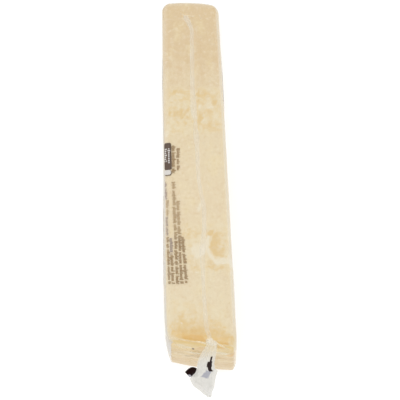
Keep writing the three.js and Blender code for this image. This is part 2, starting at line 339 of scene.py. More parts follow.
class Shade:
    """One socket in a material's nodes. Arithmetic on it adds Math nodes, and node() adds any other node."""

    def __init__(self, tree, socket=None):
        self.tree = tree
        self.socket = socket

    def node(self, kind, settings, inputs, output=0):
        """Adds a node: its settings first, then the value or link of each input. Gives one of its outputs."""
        made = self.tree.nodes.new(kind)
        for title, value in settings.items():
            if title == "stops":
                self.set_stops(made.color_ramp, value)
            else:
                setattr(made, title, value)
        for title, value in inputs.items():
            if isinstance(value, Shade):
                self.tree.links.new(value.socket, made.inputs[title])
            else:
                made.inputs[title].default_value = value
        return Shade(self.tree, made.outputs[output] if made.outputs else None)

    @staticmethod
    def set_stops(ramp, stops):
        """Gives a colour ramp its stops: pairs of a place from 0 to 1 and a colour."""
        while len(ramp.elements) < len(stops):
            ramp.elements.new(1.0)
        for element, (place, colour) in zip(ramp.elements, stops):
            element.position = place
            element.color = colour

    __add__ = __radd__ = math_node("ADD")
    __mul__ = __rmul__ = math_node("MULTIPLY")
    __sub__ = math_node("SUBTRACT")
    __rsub__ = math_node("SUBTRACT", turned=True)
    __truediv__ = math_node("DIVIDE")
    __rtruediv__ = math_node("DIVIDE", turned=True)
    __pow__ = math_node("POWER")
    larger = math_node("MAXIMUM")

    def rise(self, start, end):
        """0 at start, 1 at end, and a smooth S between them. It falls where start is the larger one."""
        settings = {"interpolation_type": "SMOOTHSTEP"}
        return self.node("ShaderNodeMapRange", settings, {0: self, 1: start, 2: end})

    def mix(self, low, high):
        """The colour low where this is 0 and high where it is 1."""
        return self.node("ShaderNodeMix", {"data_type": "RGBA"}, {0: self, 6: low, 7: high}, 2)

    def under(self, *layers):
        """This colour with layers put over it in turn: pairs of a cover from 0 to 1 and a colour."""
        shown = self
        for cover, tone in layers:
            shown = cover.mix(shown, tone)
        return shown

    def parts(self):
        """The three numbers of a vector."""
        made = self.node("ShaderNodeSeparateXYZ", {}, {0: self})
        return [Shade(self.tree, output) for output in made.socket.node.outputs]

    def noise(self, size, detail=2.0, roughness=0.5):
        """Noise from 0 to 1 at this place, with lumps of that size."""
        inputs = {"Vector": self, "Scale": 1 / size, "Detail": detail, "Roughness": roughness}
        return self.node("ShaderNodeTexNoise", {}, inputs)

    def stretched(self, x, y, z):
        """This vector with its three numbers multiplied."""
        return self.node("ShaderNodeVectorMath", {"operation": "MULTIPLY"}, {0: self, 1: (x, y, z)})

    def attribute(self, title, output):
        """A point attribute of the mesh: its Vector or its Fac."""
        return self.node("ShaderNodeAttribute", {"attribute_name": title}, {}, output)

    def numbers(self, *titles):
        """Several point attributes of the mesh, each of them one number."""
        return [self.attribute(title, "Fac") for title in titles]

    def place(self):
        """The place on the object, in metres."""
        return self.node("ShaderNodeTexCoord", {}, {}, "Object")

    def bump(self, depth, strength=1.0):
        """A normal from a height in metres."""
        return self.node("ShaderNodeBump", {}, {"Strength": strength, "Distance": 1.0, "Height": depth})

    def surface(self, inputs):
        """Ends the material with one Principled shader."""
        shell = self.node("ShaderNodeBsdfPrincipled", {}, inputs)
        self.node("ShaderNodeOutputMaterial", {}, {"Surface": shell})


def new_finish(name):
    """A material with no nodes yet, and a socketless Shade to add them with."""
    finish = bpy.data.materials.new(name)
    finish.use_nodes = True
    finish.node_tree.nodes.clear()
    return finish, Shade(finish.node_tree)


def colour(red, green, blue):
    """A linear colour that this scene's light shows as these numbers from 0 to 255 on a screen: their linear
    values, divided by how much brighter than itself the light makes a surface that faces up."""
    shown = np.array((red, green, blue)) / 255
    linear = np.where(shown <= 0.04045, shown / 12.92, ((shown + 0.055) / 1.055) ** 2.4)
    return (*(linear / LIGHT_ON_TOP).tolist(), 1.0)


def blots(across, along, spots, ragged):
    """How strongly spots cover a place: each is an ellipse, whose own distance, 0 in its middle and 1 on its
    rim, is made ragged, and whose strength fades over the rim. The strongest one counts."""
    cover = np.zeros_like(across)
    for middle_across, middle_along, half_across, half_along, strength in spots:
        distance = np.hypot((across - middle_across) / half_across, (along - middle_along) / half_along)
        cover = np.maximum(cover, strength * smooth(distance + ragged, *STAIN_RIM))
    return cover


def on_plane(first, second):
    """Points of a plane: their two numbers, and 0 as the third."""
    return np.stack((first, second, 0 * first), axis=-1)


def wet_patch(x, radius, ragged):
    """The wet patch beside the seam and its pale rim: the patch is an ellipse, sharp and strong at its left
    and outer side, which fades to the right in slanted streaks. The rim follows its strong side. Places are
    in millimetres."""
    middle_x, middle_radius, half_x, half_radius = WET_PATCH
    across, along = (x - middle_x) / half_x, (radius - middle_radius) / half_radius
    distance = np.hypot(across, along) + 0.4 * ragged
    streaks = layered(on_plane(x + 0.3 * radius, 0.15 * radius), WET_STREAKS)
    faded = smooth(across - 0.2 * along + streaks, -0.8, 0.9)
    patch = smooth(distance, 1.1, 0.80) * (1 - 0.7 * faded)
    rim = np.exp(-((distance - WET_RIM[0]) / WET_RIM[1]) ** 2) * smooth(along - 0.8 * across, -0.6, 0.5)
    return patch, rim


def cheese_finish():
    """Tan at the tip to pale cream, amber towards the rind, mottled, with wet amber and pale stains and white
    crystals. The rind is blotched and scratched, waxy below and yellower at its two edges, with a few brown
    spots. The tight film over it all is a clear coat."""
    finish, start = new_finish("grana_cheese")
    place = start.place()
    wheel = start.attribute("wheel", "Vector")
    x, radius, arc = wheel.parts()
    amber_stain, pale_stain, mottle = start.numbers("amber_stain", "pale_stain", "mottle")
    under_rind, on_rind = start.numbers("under_rind", "on_rind")
    broad = place.noise(0.016, 3.0)
    small = place.noise(0.004, 3.0)
    fine = place.noise(0.0016, 2.0, 0.6)
    ragged = place.noise(0.0016, 4.0, 0.7)
    patchy = place.stretched(1.0, 0.6, 1.0).noise(0.006, 4.0, 0.65)
    cells = place.noise(0.0034, 4.0, 0.6)
    grain = wheel.stretched(1.0, 0.12, 0.3).noise(0.003, 2.0)

    stops = (
        (0.06, colour(219, 192, 147)), (0.20, colour(219, 193, 150)), (0.28, colour(224, 202, 163)),
        (0.42, colour(228, 209, 171)), (0.65, colour(229, 210, 173)), (0.90, colour(229, 212, 176)),
    )
    drift = (broad - 0.5) * 0.2 + (grain - 0.5) * 0.25 + (small - 0.5) * 0.35
    by_radius = start.node("ShaderNodeValToRGB", {"stops": stops}, {0: radius / WHEEL_RADIUS + drift})
    ripe = under_rind + (small - 0.5) * 0.3 * under_rind.rise(0.0, 0.3) + (cells - 0.5) * 0.5 * under_rind
    flesh = by_radius.under(
        (patchy.rise(0.5, 0.7) * 0.45, colour(233, 214, 167)),
        (patchy.rise(0.5, 0.32) * 0.35, colour(221, 195, 156)),
        (fine.rise(0.52, 0.75) * 0.4, colour(240, 226, 196)),
        (fine.rise(0.48, 0.25) * 0.4, colour(213, 185, 139)),
        (mottle * 0.5, colour(231, 214, 174)),
        (mottle * cells.rise(0.46, 0.61) * 0.75, colour(227, 201, 150)),
        (mottle * cells.rise(0.46, 0.34) * 0.5, colour(235, 222, 192)),
        (ripe.rise(0.0, 1.0), colour(217, 176, 105)),
    )

    scratch = wheel.stretched(0.05, 1.0, 1.0).noise(0.0015, 2.0)
    blotch = wheel.stretched(0.6, 1.0, 1.0).noise(0.0045, 5.0, 0.65)
    dash = wheel.stretched(0.22, 1.0, 0.6).noise(0.0013, 1.0).rise(0.73, 0.77)
    tint = wheel.stretched(0.5, 1.0, 1.3).noise(0.0060, 4.0, 0.6).rise(0.52, 0.66)
    blotched = (blotch + (scratch - 0.5) * 0.3).rise(0.30, 0.70)
    waxed = (blotch * 0.7 + scratch * 0.3).rise(0.35, 0.65)
    upper_edge = (arc + (blotch - 0.5) * 0.008).rise(0.0620, 0.0700)
    lower_edge = (arc + (blotch - 0.5) * 0.006).rise(0.0100, 0.0040)
    rind = blotched.mix(colour(205, 172, 112), colour(233, 212, 167)).under(
        (fine.rise(0.55, 0.75) * 0.35, colour(196, 162, 107)),
        (tint * 0.5, colour(219, 180, 111)),
        (arc.rise(0.056, 0.034) * 0.75, waxed.mix(colour(209, 175, 114), colour(224, 195, 141))),
        (upper_edge.larger(lower_edge) * 0.85, colour(228, 200, 138)),
        (dash * 0.3, colour(150, 124, 92)),
    )
    for spot_x, spot_arc, half_x, half_arc, strength in RIND_SPOTS:
        across, along = (x - spot_x * MM) / (half_x * MM), (arc - spot_arc * MM) / (half_arc * MM)
        away = across ** 2 + along ** 2
        rind = (away.rise(1.4, 0.4) * strength).mix(rind, colour(92, 64, 42))

    pale = (pale_stain + (ragged - 0.5) * 0.9 * pale_stain.rise(0.0, 0.4)).rise(0.2, 0.85)
    worn = (ragged - 0.5) * 1.3 + (cells - 0.5) * 1.3
    amber = (amber_stain + worn * amber_stain.rise(0.0, 0.4)).rise(0.2, 0.95)
    light_amber = small.rise(0.4, 0.7).mix(colour(223, 193, 135), colour(224, 197, 149))
    strong = (amber_stain + (cells - 0.5) * 0.5).rise(0.72, 1.0)
    deep_amber = strong.mix(colour(223, 191, 129), colour(218, 176, 104))
    crystal = start.node("ShaderNodeTexVoronoi", {}, {"Vector": place, "Scale": 1 / CRYSTAL_SPACING})
    skin = (on_rind + (blotch - 0.5) * 0.4).rise(0.3, 0.7).mix(flesh, rind).under(
        (pale * 0.9, on_rind.mix(colour(234, 222, 195), colour(230, 214, 177))),
        (amber, radius.rise(0.180, 0.192).mix(light_amber, deep_amber)),
        (crystal.rise(0.06, 0.035) * 0.4, colour(240, 233, 216)),
    )

    height = fine * 0.00005 + small * 0.00010 + on_rind * (blotch * 0.00030 + scratch * 0.00008)
    upper_cut = (arc / radius).rise(UPPER_CUT[0] * WEDGE_ANGLE, UPPER_CUT[1] * WEDGE_ANGLE)
    start.surface({
        "Base Color": skin,
        "Roughness": 0.5 + (small - 0.5) * 0.3 - amber * 0.12,
        "Specular IOR Level": 0.25,
        "Coat Weight": (1.0 - on_rind) * (0.6 - upper_cut * 0.3) + on_rind * 0.3,
        "Coat Roughness": 0.15,
        "Normal": start.bump(height, 0.5),
    })
    return finish


# the wheel's axis, placed so that the film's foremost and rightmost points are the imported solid's
coarse_shares, _ = box_shell(COARSE_STEPS)
film_reach = on_wheel(*wedge_skin(coarse_shares, **FILM_FIT)).max(axis=0)
AXIS = np.array((pack_high.x - film_reach[0], pack_high.y - film_reach[1], 0.0))

cheese_shares, cheese_squares = box_shell(CHEESE_STEPS)
cheese_wheel = wedge_skin(cheese_shares, **CHEESE_FIT)
cheese_x, cheese_radius, cheese_arc = cheese_wheel
cheese_points = AXIS + on_wheel(*cheese_wheel)
cheese_normals = outward(cheese_points, cheese_squares)
# where the skin faces outwards it is rind, and near the top of its arc it is the upper cut
cheese_angle = cheese_arc / cheese_radius
cheese_outwards = cheese_normals[:, 2] * np.sin(cheese_angle) - cheese_normals[:, 1] * np.cos(cheese_angle)
cheese_rind = smooth(cheese_outwards, *RIND_FACING)
cheese_top = smooth(cheese_arc / (cheese_radius * WEDGE_ANGLE), *UPPER_CUT)
# the stains of the upper cut and of the rind, at places in millimetres
cheese_ragged = layered(cheese_points, RAGGED_LUMPS)
warp_across, warp_along = layered(cheese_points, WARP_ACROSS), layered(cheese_points, WARP_ALONG)
stain_x, stain_radius = (cheese_x + warp_across) / MM, (cheese_radius + warp_along) / MM
stain_arc = (cheese_arc + SMALL_WARP * warp_along) / MM
patch_x = (cheese_x + SMALL_WARP * warp_across) / MM
patch_radius = (cheese_radius + SMALL_WARP * warp_along) / MM
patch_stain, patch_rim = wet_patch(patch_x, patch_radius, cheese_ragged)


def stained(cut_spots, patch, on_cut, rind_spots):
    """How strongly the cheese is stained by the upper cut's spots or patch, or by the rind's spots."""
    cut_stain = np.maximum(blots(stain_x, stain_radius, cut_spots, cheese_ragged), patch) * on_cut
    return np.maximum(cut_stain, blots(stain_x, stain_arc, rind_spots, cheese_ragged) * cheese_rind)


off_rind = smooth(cheese_outwards, *CUT_FACING)
amber_stain = stained(AMBER_STAINS, patch_stain, cheese_top * off_rind, RIND_AMBER)
pale_stain = stained(PALE_STAINS, patch_rim, cheese_top, RIND_PALE)
# the sides and the lower cut are stained at random
cheese_sides = (1 - cheese_top) * (1 - cheese_rind)
amber_stain += share_of(layered(cheese_points, RANDOM_AMBER), *SIDE_AMBER) * cheese_sides
pale_stain += share_of(layered(cheese_points, RANDOM_PALE), *SIDE_PALE) * cheese_sides
# the zones where the film clings in patches
cheese_mottle = SIDE_MOTTLE * cheese_sides
for middle_along, half_along, middle_across, half_across, strength in MOTTLED:
    along = np.abs(stain_radius - middle_along) / half_along
    across = np.abs(stain_x - middle_across) / half_across
    zone = smooth(along, *ZONE_RIM) * smooth(across, *ZONE_RIM)
    cheese_mottle = np.maximum(cheese_mottle, strength * zone * cheese_top)
# amber under the rind: faint on the upper cut, where it leaves both edges clear, and weak on the sides, but
# not on the rounded upper right edge
ripe_depth = WHEEL_RADIUS - cheese_radius + layered(cheese_points, RIPE_LUMPS)
ripe_depth += share_of(cheese_x, *RIPE_THINS) * cheese_top
clear_of_edges = smooth(stain_x, *CLEAR_LEFT) * smooth(stain_x, *CLEAR_RIGHT)
under_rind = smooth(ripe_depth, *RIPE_DEPTH) * (1 - cheese_top * (1 - RIPE_ON_CUT * clear_of_edges))
right_facing = cheese_normals[:, 0]
right_edge = smooth(right_facing, *EDGE_STARTS) * smooth(right_facing, *EDGE_ENDS)
right_edge *= smooth(cheese_arc, *EDGE_ARC)
under_rind *= 1 - share_of(np.abs(right_facing), *RIPE_LOST) * (1 - right_edge)

cheese_relief = layered(cheese_points, RELIEF_LUMPS) + cheese_rind * layered(cheese_points, RIND_LUMPS)
cheese_points += cheese_normals * cheese_relief[:, None]
new_piece(
    "cheese", cheese_points, cheese_squares, cheese_finish(), "cheese", wheel=np.stack(cheese_wheel, axis=-1),
    amber_stain=amber_stain, pale_stain=pale_stain, mottle=cheese_mottle, under_rind=under_rind,
    on_rind=cheese_rind,
)

# The clear film: a tube of thin shrink film, drawn tight by vacuum. It clings to the cuts, bridges the
# rounded edges, the tip's left corner and the left end of the rind, where it looks milky, and is drawn into
# pleats round the end seal. The haze on its edges is partly milky film and partly painted reflection, and a
# painted shade line runs along its left edge.
FILM_STEPS = (64, 200, 48)
SEAL_X = 0.0043
PLEAT_HEIGHT = 0.0003
PLEAT_REACH = 0.010
PLEATS_ROUND = 15
PLEAT_CREST = (0.1, 1)
PLEATS_START = (0.001, 0.005)
PLEAT_DRIFT = ((3, 0.006, 5),)
FILM_RAGGED = ((1.0, 0.008, 21), (0.5, 0.003, 22))
EDGE_FALL = (0.0042, 0.0012)  # how far below the upper edge the painted shade rim and the partly painted haze end
RIM_RAGGED = 0.0008
HAZE_SHEEN_RAGGED = 0.0009
WEB_RAGGED = 0.0004
# where the painted shade line along the left rim starts and fades, by which way the film faces
RIM_STARTS = 0.78
RIM_FADE = 0.14
CORNER_WAY = (0.8, 0.6)  # to the left and to the tip
# a strength where there is one, and from where to where it grows
RIM_WIDENS = (0.24, 0.06, 0.11)
RIM_LOST = (0.7, 0.90, 0.99)
CORNER_FACING = (0.9, 0.55, 0.80)
CORNER_ENDS = (0.026, 0.017)
WEB_OVERHANG = (0.0001, 0.0006)
WEB_FACING = (0.4, 0.7)
WEB_RISES = (0.4, 0.030, 0.060)
WEB_GAP = (0.0005, 0.0020)
# haze on the edges by which way the film faces: partly milky film, partly painted reflection
HAZE_SHEEN_LEFT = (0.6, 0.15, 0.5)
HAZE_SHEEN_RIGHT = (1.0, 0.2, 0.6)
HAZE_SHEEN_TIP = (0.5, 0.2, 0.6)
HAZE_SHEEN_EDGE = (0.35, 0.0050, 0.0010)
HAZE_SHEEN_LOST = (0.85, 0.186, 0.195)
# the film's milky colour, which also colours the painted whitish reflection on its edges
MILK_AND_SHEEN = colour(243, 240, 231)
GREY_MILK = colour(210, 205, 197)
# painted shade along the film's left edge: grey and brown by turns, brown at the tip, pale towards the rind
RIM_SHADE_GREY = colour(209, 199, 190)
RIM_SHADE_BROWN = colour(205, 182, 146)
RIM_SHADE_PALE = colour(217, 213, 204)


def film_finish():
    """Nearly invisible where it clings, milky where a gap opens under it, with a few fine silvery creases, an
    edge haze that is partly painted reflection, and a cloudy rim of painted shade, grey and brown by turns
    along the left edge."""
    finish, start = new_finish("clear_film")
    place = start.place()
    haze, web, rim, pleat = start.numbers("haze", "web", "rim", "pleat")
    crease = place.stretched(1.0, 0.35, 1.0).noise(0.006, 4.0, 0.6)
    line = ((crease - 0.5) * (crease - 0.5)).rise(0.0001, 0.0)
    cloud = place.stretched(1.0, 0.5, 1.0).noise(0.0035, 3.0, 0.6).rise(0.3, 0.6)
    # the edge haze is partly milky film and partly painted reflection; pleats and creases add milkiness
    milk = haze * 0.35 + pleat * 0.05 + line * 0.05 + 0.01
    along = place.parts()[1]
    turns = place.stretched(0.1, 1.0, 0.1).noise(0.012, 2.0).rise(0.5, 0.6)
    # the left rim's painted shade colour
    edge = turns.mix(RIM_SHADE_GREY, RIM_SHADE_BROWN).under(
        (along.rise(0.055, 0.010), RIM_SHADE_PALE),
        (along.rise(0.080, 0.090), RIM_SHADE_BROWN),
    )
    start.surface({
        "Base Color": rim.mix(web.mix(MILK_AND_SHEEN, GREY_MILK), edge),
        "Roughness": 0.2,
        "Alpha": milk.larger(web * (cloud * 0.3 + 0.65)).larger(rim * (cloud * 0.3 + 0.62)),
    })
    return finish


film_shares, film_squares = box_shell(FILM_STEPS)
film_wheel = wedge_skin(film_shares, **FILM_FIT)
film_x, film_radius, film_arc = film_wheel
film_points = AXIS + on_wheel(*film_wheel)
film_normals = outward(film_points, film_squares)
under_film = AXIS + on_wheel(*wedge_skin(film_shares, **CHEESE_FIT))
film_gap = ((film_points - under_film) * film_normals).sum(axis=1)
# the upper edges carry a haze, partly milky film and partly painted reflection, with a painted shade line
# along the left rim that ends round the tip's corner, and a milky web bridges the gap at the left end of
# the rind
film_fall = film_radius * WEDGE_ANGLE - film_arc
film_ragged = layered(film_points, FILM_RAGGED)
edge_band = smooth(film_fall + HAZE_SHEEN_RAGGED * film_ragged, *EDGE_FALL)
rim_shade_edge = smooth(film_fall + RIM_RAGGED * film_ragged, *EDGE_FALL)
left_facing, tip_facing = -film_normals[:, 0], film_normals[:, 1]
# a painted shade line along the left rim and round the tip's corner
rim_starts = RIM_STARTS - share_of(film_radius, *RIM_WIDENS)
film_rim_shade = smooth(left_facing, rim_starts, rim_starts + RIM_FADE) * rim_shade_edge
film_rim_shade *= 1 - share_of(left_facing, *RIM_LOST)
tip_corner_shade = share_of(CORNER_WAY[0] * left_facing + CORNER_WAY[1] * tip_facing, *CORNER_FACING)
film_rim_shade = np.maximum(film_rim_shade, tip_corner_shade * smooth(film_radius, *CORNER_ENDS) * edge_band)
left_edge = film_shares * (0, 1, 1)
cheese_left, film_left = (wedge_skin(left_edge, **fit)[0] for fit in (CHEESE_FIT, FILM_FIT))
film_corner = smooth(cheese_left - film_x, *WEB_OVERHANG) * smooth(-tip_facing, *WEB_FACING)
film_corner *= 1 - WEB_RISES[0] + share_of(film_arc, *WEB_RISES)
film_web = np.maximum(film_corner, smooth(film_gap + WEB_RAGGED * film_ragged, *WEB_GAP))
# haze on the right, left and tip edges by facing: painted reflection as well as milky film
right_haze_and_sheen = share_of(-left_facing, *HAZE_SHEEN_RIGHT) * (1 - share_of(film_radius, *HAZE_SHEEN_LOST))
film_haze_and_sheen = np.maximum(share_of(left_facing, *HAZE_SHEEN_LEFT), right_haze_and_sheen)
film_haze_and_sheen = np.maximum(film_haze_and_sheen, share_of(film_x - film_left, *HAZE_SHEEN_EDGE))
film_haze_and_sheen = np.maximum(film_haze_and_sheen * edge_band, share_of(tip_facing, *HAZE_SHEEN_TIP))
# pleats fan out from the seal, by the angle and the distance round it, over the rind and the end of the cut
fan_down = WHEEL_RADIUS * WEDGE_ANGLE - film_arc * WHEEL_RADIUS / film_radius - (WHEEL_RADIUS - film_radius)
fan_across = film_x - SEAL_X
fan_distance = np.hypot(fan_across, fan_down)
fan_turn = PLEATS_ROUND * np.arctan2(fan_across, fan_down) + layered(film_points, PLEAT_DRIFT)
film_pleat = smooth(np.sin(fan_turn), *PLEAT_CREST) * np.exp(-fan_distance / PLEAT_REACH)
film_pleat *= smooth(fan_distance, *PLEATS_START)
film_points += film_normals * (PLEAT_HEIGHT * film_pleat)[:, None]
new_piece(
    "film", film_points, film_squares, film_finish(), "clear_film",
    haze=film_haze_and_sheen, web=film_web, rim=film_rim_shade, pleat=film_pleat,
)

# The lap seam: the two edges of the film tube, welded in a narrow ribbon down the upper cut. It starts with a
# skewed pucker at the tip and shrank unevenly, so it wanders, its width changes and its edges are beaded.
SEAM_COURSE = (  # by radius, across X, half width
    (20.1, -2.7, 1.3), (22.5, -1.8, 1.5), (25.9, -0.4, 1.2), (28.8, 0.4, 1.05),
    (34.0, 0.3, 1.1), (46.0, 0.1, 1.15), (60.0, -0.2, 1.15), (67.0, -0.1, 1.5),
    (71.0, 0.0, 1.75), (75.5, 0.3, 1.6), (79.0, 0.7, 0.95), (84.0, 0.8, 1.2),
    (88.0, 1.0, 1.5), (92.0, 1.2, 1.4), (97.5, 1.3, 1.15), (109.6, 1.4, 1.0),
    (118.4, 2.3, 1.0), (126.6, 3.6, 1.15), (133.0, 3.7, 1.15), (140.0, 3.4, 1.1),
    (148.0, 2.5, 1.6), (153.5, 2.2, 1.4), (164.0, 2.2, 1.0), (172.0, 2.3, 0.9),
    (186.7, 2.8, 1.1), (191.8, 3.2, 1.3), (195.3, 4.2, 1.2), (197.8, 4.8, 1.4),
)
SEAM_GRID = (13, 480)
SEAM_RISE = 0.00008
SEAM_BEAD = 0.00015
SEAM_BEAD_AT = (0.68, 0.22)  # share of the way to the seam's edge, and its own width
SEAM_EDGE = (1.05, 0.7)
SEAM_PUCKER = 0.00003
SEAM_PUCKERS = ((1.0, 0.0034, 7),)
SEAM_PUCKER_STRETCH = 0.3
SEAM_START = (0.8, 0.0290, 0.0245)  # how much milkier, and the radii between which it starts
SEAM_MILK = colour(229, 222, 207)
HEEL_RUN = 0.0071  # length of the rounded edge from the upper cut to the rind
CURVE_STEPS = 1200


def along_film(x, run, height):
    """Points above the film, by a distance along it from the wheel's axis: out on the upper cut, over the
    rounded edge, a quarter of an ellipse, and then down the rind."""
    reach, depth = UPPER_HEEL
    edge = WHEEL_RADIUS - reach
    turn = np.clip((run - edge) / HEEL_RUN, 0, 1) * np.pi / 2
    radius = np.minimum(run, edge) + reach * np.sin(turn)
    fall = depth * (1 - np.cos(turn)) + np.maximum(run - edge - HEEL_RUN, 0)
    arc = radius * WEDGE_ANGLE - fall + (unevenness(x, radius) + height) * np.cos(turn)
    return AXIS + on_wheel(x, radius + height * np.sin(turn), arc)


def curve_through(knots, shares):
    """Points at shares of the length of a smooth curve: between two knots a cubic whose slope at each knot is
    half the step between its neighbours, followed in small steps whose lengths are added up."""
    knots = np.array(knots, float)
    padded = np.concatenate((2 * knots[:1] - knots[1:2], knots, 2 * knots[-1:] - knots[-2:-1]))
    t = np.linspace(0, len(knots) - 1, CURVE_STEPS)
    span = np.minimum(t.astype(int), len(knots) - 2)
    part = (t - span)[:, None]
    a, b, c, d = (padded[span + i] for i in range(4))
    dense = b + 0.5 * part * (c - a + part * (2 * a - 5 * b + 4 * c - d + part * (3 * (b - c) + d - a)))
    length = np.concatenate(((0,), np.cumsum(np.linalg.norm(np.diff(dense, axis=0), axis=1))))
    return np.stack([np.interp(shares * length[-1], length, column) for column in dense.T], axis=-1)


def closed_sheet(middle, half):
    """A closed sheet round a grid of points: the grid, moved half a thickness to each side along its normals,
    the cross products of its steps along its first and second way, and a strip of squares round the rim."""
    normal = np.cross(np.gradient(middle, axis=0), np.gradient(middle, axis=1))
    normal /= np.linalg.norm(normal, axis=2, keepdims=True)
    offset = normal * np.broadcast_to(half, middle.shape[:2])[..., None]
    points = np.concatenate(((middle + offset).reshape(-1, 3), (middle - offset).reshape(-1, 3)))
    count = points.shape[0] // 2
    number = np.arange(count).reshape(middle.shape[:2])
    corners = (number[:-1, :-1], number[1:, :-1], number[1:, 1:], number[:-1, 1:])
    upper = np.stack(corners, axis=-1).reshape(-1, 4)
    rim = np.concatenate((number[:-1, 0], number[-1, :-1], number[:0:-1, -1], number[0, :0:-1]))
    following = np.roll(rim, -1)
    side = np.stack((rim, rim + count, following + count, following), axis=-1)
    return points, np.concatenate((upper, upper[:, ::-1] + count, side))


def both_faces(values):
    """An attribute of a closed sheet's grid, repeated for its two faces."""
    flat = values.reshape(-1, *values.shape[2:])
    return np.concatenate((flat, flat))


def welded_film_finish(name, milk, clear, milky):
    """Doubled film: milky in patches, most where the attribute "bead" says, and glossy."""
    finish, start = new_finish(name)
    place = start.place()
    bead = start.attribute("bead", "Fac")
    patch = place.stretched(1.0, 0.4, 0.4).noise(0.004, 3.0, 0.6)
    start.surface({
        "Base Color": milk,
        "Roughness": 0.3,
        "Alpha": (bead * 0.6 + patch.rise(0.3, 0.7) * 0.4) * (milky - clear) + clear,
        "Normal": start.bump(patch * 0.0001, 0.4),
    })
    return finish


def even_grid(first, second, steps):
    """Two grids of even steps, the first from end to end along one way and the second along the other."""
    return np.meshgrid(np.linspace(*first, steps[0]), np.linspace(*second, steps[1]), indexing="ij")


def sheet_piece(name, middle, half, finish, slot, **grids):
    """A piece that is one closed sheet round a grid of points, with attributes from grids of that shape."""
    attributes = {title: both_faces(values) for title, values in grids.items()}
    new_piece(name, *closed_sheet(middle, half), finish, slot, **attributes)


seam_across, seam_share = even_grid((-1, 1), (1, 0), SEAM_GRID)
seam_run, seam_x, seam_half_width = np.moveaxis(MM * curve_through(SEAM_COURSE, seam_share), -1, 0)
seam_x = seam_x + seam_across * seam_half_width
seam_bead = np.exp(-((np.abs(seam_across) - SEAM_BEAD_AT[0]) / SEAM_BEAD_AT[1]) ** 2)
seam_flat = smooth(np.abs(seam_across), *SEAM_EDGE)
seam_pucker = layered(on_plane(seam_x * SEAM_PUCKER_STRETCH, seam_run), SEAM_PUCKERS)
seam_half = SEAM_BEAD * (0.3 + 0.7 * seam_bead) * seam_flat + SEAM_PUCKER * (1.2 + seam_pucker)
seam_milk = 1 + share_of(seam_run, *SEAM_START)
sheet_piece(
    "lap_seam", along_film(seam_x, seam_run, SEAM_RISE), seam_half,
    welded_film_finish("welded_film", SEAM_MILK, 0.06, 0.27), "clear_film",
    bead=seam_flat * (0.75 + 0.25 * seam_bead) * seam_milk,
)

# The tail: the end of the film tube, gathered, sealed and cut off beyond the rind. The gathered film leaves
# the upper cut by a narrow neck, droops over the rind and spreads into a crumpled fan with a ragged, pointed
# end. A second, shorter ply lies under it.
TAIL_RUN = (  # outwards and up
    (179.0, 73.6), (185.5, 75.2), (191.0, 73.2), (199.5, 68.3), (207.0, 60.6), (213.0, 50.0),
)
TAIL_EDGES = (  # share along, left and right edge across X
    (0, 3.6, 7.0), (0.10, 3.1, 8.4), (0.16, 2.5, 8.1), (0.22, 0.6, 7.7), (0.31, -1.3, 7.1),
    (0.38, -2.1, 6.3), (0.45, -2.6, 6.5), (0.48, -3.0, 7.9), (0.57, -6.0, 7.0), (0.69, -4.4, 6.3),
    (0.78, -1.8, 6.0), (0.88, 0.6, 4.9), (1, 2.5, 4.2),
)
TAIL_GRID = (61, 181)
TAIL_HALF = 0.00012
TAIL_PLEAT_DEPTH = 0.0011
TAIL_PLEATS = 1.5
TAIL_PLEAT_DRIFT = 0.45
TAIL_GATHERS = 5.5
TAIL_GATHER_DEPTH = 0.00014
TAIL_GATHER_DRIFT = 0.6
TAIL_GATHER_FADE = 0.6
TAIL_GATHER_SWAY = (0.4, 5)  # how far, and radians along the tail
TAIL_FLATTENS = (0.75, 0.75, 1)  # share of the pleats lost, and over which shares along
TAIL_SINKS = (0.15, 0.6)
TAIL_CRUMPLE = 0.0005
TAIL_CRUMPLE_SIZE = 0.0035
TAIL_SPREAD = (0.012, 0.04, 0)  # width and length for the crumples
TAIL_RAGGED = 0.15
TAIL_RAGGED_SEED = 11
MARK_EDGE = (1.2, 0.8)
# shares across from and to, shares along from and to, sunk by, seed of the crumples, whether printed
TAIL_PLIES = (
    ("tail", 0.0, 1.0, 0.0, 1.0, 0.0, 11, 1),
    ("tail_back", 0.10, 0.86, 0.30, 0.84, 0.0016, 12, 0),
)
# printed marks on the tail: share across and along, half width, half length, strength
TAIL_DARK = (
    (0.745, 0.325, 0.050, 0.040, 1.0), (0.715, 0.382, 0.147, 0.036, 1.0), (0.725, 0.440, 0.095, 0.034, 1.0),
)
TAIL_GREY = ((0.553, 0.530, 0.150, 0.036, 1.0), (0.590, 0.484, 0.130, 0.016, 1.0))


def scraps(across, along, marks, ragged):
    """1 inside any of the marks, boxes with ragged edges, and 0 outside: the larger of the two shares of the
    way to a box's edges tells how far out a place is."""
    cover = np.zeros_like(across)
    for middle_across, middle_along, half_across, half_along, strength in marks:
        out_across, out_along = np.abs(across - middle_across), np.abs(along - middle_along)
        share = np.maximum(out_across / half_across, out_along / half_along)
        cover = np.maximum(cover, strength * smooth(share + ragged, *MARK_EDGE))
    return cover


